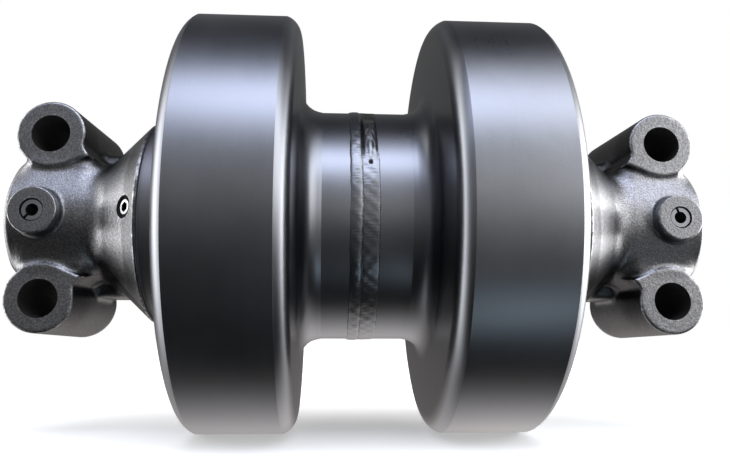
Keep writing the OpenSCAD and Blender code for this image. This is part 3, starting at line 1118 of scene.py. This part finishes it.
def plated_steel():
    """Plated plug: a bright ring between the socket and the edge, both painted dark as shade."""
    made, n = material("plated_steel")
    whole, (x, y, z) = n.place()
    rise, aside = from_plug(x, y, z)
    socket = (1 - aside.step(2.85 * MM, 3.0 * MM)) * (1 - rise.step(-1.1 * MM, -0.95 * MM))
    # Painted shade: the hex socket and the ring at the plug's edge are painted near black.
    socket_and_ring_shade = n.largest(socket, aside.step(3.9 * MM, 4.15 * MM)) * 0.94
    grit = n.noise(whole, 1100.0, 3.0, 0.6)
    metal = n.scaled(bpy.context.scene.roller_finish.plated, 0.8 + grit * 0.3)
    n.surface(
        Base_Color=n.blend(socket_and_ring_shade, metal, (0.02, 0.02, 0.02)),
        Metallic=1.0,
        Roughness=0.24 + grit * 0.1,
        bump=grit * 0.01,
    )
    return made


class ROLLER_OT_small_parts(bpy.types.Operator):
    """Gives the axle, bushes, seals, pins and plugs their finishes"""

    bl_idname = "roller.small_parts"
    bl_label = "Axle and small parts"

    def execute(self, context):
        f = context.scene.roller_finish
        finishes = {
            "axle": ground_steel(),
            "bush": plain_metal("bronze", f.bronze, 0.3, 0.01),
            "spring_pin": plain_metal("spring_steel", f.blued, 0.34, 0.015),
            "fill_plug": plated_steel(),
            "toric": soft_rubber(),
        }
        finishes["seal"] = finishes["axle"]
        finishes["gallery_plug"] = finishes["bush"]
        finishes["oring"] = finishes["plug_washer"] = finishes["toric"]
        for name, node in frame["nodes"].items():
            found = [made for start, made in finishes.items() if name.startswith(start)]
            if found:
                node.data.materials.clear()
                node.data.materials.append(found[0])
        return {"FINISHED"}


# ---------------------------------------------------------------- stage


def area_light(name, place, target, size, power):
    """A soft square light that faces its target."""
    data = bpy.data.lights.new(name, "AREA")
    data.shape = "RECTANGLE"
    data.size = data.size_y = size
    data.energy = power
    light = bpy.data.objects.new(name, data)
    bpy.context.scene.collection.objects.link(light)
    light.location = place
    towards = np.array(target, float) - np.array(place, float)
    light.rotation_euler = (
        math.atan2(math.hypot(towards[0], towards[1]), -towards[2]),
        0,
        math.atan2(towards[1], towards[0]) - math.pi / 2,
    )
    return light


def studio_world(s):
    """Pale to the camera. As light it is a bright strip and fill above the front, a dark front
    below them, a bright floor, and soft panels at the left, the right and behind, each a bell
    of its direction in degrees: round the axle, round the vertical, or above the horizon."""
    world = bpy.data.worlds.new("studio")
    world.use_nodes = True
    n = Nodes(world.node_tree)
    degrees = 180 / math.pi
    way = n.add("ShaderNodeTexCoord", out="Generated")
    x, y, z = (n.add("ShaderNodeSeparateXYZ", {}, (way,), out=i) for i in range(3))
    angle = n.add("ShaderNodeMath", {"operation": "ARCTAN2"}, (z, x)) * degrees
    around = n.add("ShaderNodeMath", {"operation": "ARCTAN2"}, (y, x)) * degrees
    height = n.add("ShaderNodeMath", {"operation": "ARCSINE"}, (z,)) * degrees

    rightwards = y.step(0.08, 0.3)
    across = (1 - y * y) * (1 - (y * -1.0).step(0.2, 0.38) * 0.55) * (1 - rightwards * 0.3)
    across = across * (1 - y.step(0.34, 0.46) * 0.25)
    strip = angle.bell(57.0, 15.0) * across * s.key
    fill = angle.bell(20.0, 24.0) * 0.24 + angle.bell(-12.0, 26.0) * 0.04 + 0.014
    fill = fill + rightwards * angle.bell(-14.0, 34.0) * 0.12
    behind = angle.step(100.0, 150.0) * 0.14
    left = around.bell(-94.0, 18.0) * height.bell(8.0, 38.0) * 4.6
    right = around.bell(54.0, 29.0) * height.step(-20.0, 18.0) * height.bell(18.0, 45.0) * 2.5
    lamp = around.bell(101.0, 20.0) * height.bell(5.0, 20.0) * 11.0
    cloth = around.bell(27.0, 10.0) * height.bell(-50.0, 11.0) * 0.8
    below = 0 - angle
    floor = below.step(88.0, 142.0) * (1 - below.step(148.0, 178.0) * 0.75)
    floor = floor * (1 - y * y) * (0.85 + rightwards * 0.3)

    total = n.scaled((0.93, 1.0, 1.24), strip)
    for colour, value in (
        ((1.0, 1.0, 1.0), fill + left + right + lamp + behind),
        ((1.06, 1.0, 0.97), floor),
        ((0.85, 1.05, 1.2), cloth),
    ):
        parts = (total, n.scaled(colour, value))
        total = n.add("ShaderNodeVectorMath", {"operation": "ADD"}, parts)
    seen = n.add("ShaderNodeLightPath", out="Is Camera Ray")
    pale = n.blend(seen, total, (s.backdrop,) * 3)
    shown = n.add("ShaderNodeBackground", {}, (pale, 1.0))
    n.add("ShaderNodeOutputWorld", {}, (shown,))
    bpy.context.scene.world = world


class ROLLER_OT_stage(bpy.types.Operator):
    """Sets the floor, the lights and the camera"""

    bl_idname = "roller.stage"
    bl_label = "Floor, light and camera"

    def execute(self, context):
        s = context.scene.roller_stage
        half = 30.0  # metres, so that its edge never shows
        corners = [(-half, -half), (half, -half), (half, half), (-half, half)]
        mesh = bpy.data.meshes.new("floor")
        mesh.from_pydata([(x, y, FLOOR_Z) for x, y in corners], [], [(0, 1, 2, 3)])
        floor = bpy.data.objects.new("floor", mesh)
        context.scene.collection.objects.link(floor)
        made, n = material("floor_paint")
        paint = (*s.floor, 1)
        n.surface(Base_Color=paint, Roughness=0.8, Emission_Color=paint, Emission_Strength=0.45)
        mesh.materials.append(made)
        floor.visible_glossy = False
        top = area_light("overhead", (0.3, 0, 1.6), (0, 0, 0), 2.0, 20)
        top.visible_glossy = False
        studio_world(s)
        camera = bpy.data.objects.new("camera", bpy.data.cameras.new("camera"))
        context.scene.collection.objects.link(camera)
        camera.data.sensor_width = 36.0
        camera.data.lens = s.lens
        camera.location = CAMERA_PLACE
        camera.rotation_euler = [math.radians(a) for a in CAMERA_TURN]
        context.scene.camera = camera
        context.scene.view_settings.view_transform = "Standard"
        return {"FINISHED"}


# ---------------------------------------------------------------- add-on


class ROLLER_PT_sidebar(bpy.types.Panel):
    """Lists the roller's pieces"""

    bl_idname = "ROLLER_PT_sidebar"
    bl_label = "Track roller"
    bl_space_type = "VIEW_3D"
    bl_region_type = "UI"
    bl_category = "Roller"

    def draw(self, context):
        for operator in OPERATORS:
            self.layout.operator(operator.bl_idname)


GROUPS = {
    "roller_shell": ShellSettings,
    "roller_weld": WeldSettings,
    "roller_collar": CollarSettings,
    "roller_finish": FinishSettings,
    "roller_stage": StageSettings,
}
OPERATORS = (
    ROLLER_OT_shell,
    ROLLER_OT_weld,
    ROLLER_OT_collars,
    ROLLER_OT_small_parts,
    ROLLER_OT_stage,
)


def register():
    for name, group in GROUPS.items():
        bpy.utils.register_class(group)
        setattr(bpy.types.Scene, name, PointerProperty(type=group))
    for shown in (*OPERATORS, ROLLER_PT_sidebar):
        bpy.utils.register_class(shown)


def unregister():
    for shown in (ROLLER_PT_sidebar, *reversed(OPERATORS)):
        bpy.utils.unregister_class(shown)
    for name, group in GROUPS.items():
        delattr(bpy.types.Scene, name)
        bpy.utils.unregister_class(group)


def main():
    register()
    bpy.ops.roller.shell()
    bpy.ops.roller.weld()
    bpy.ops.roller.collars()
    bpy.ops.roller.small_parts()
    bpy.ops.roller.stage()


if __name__ == "__main__":
    main()
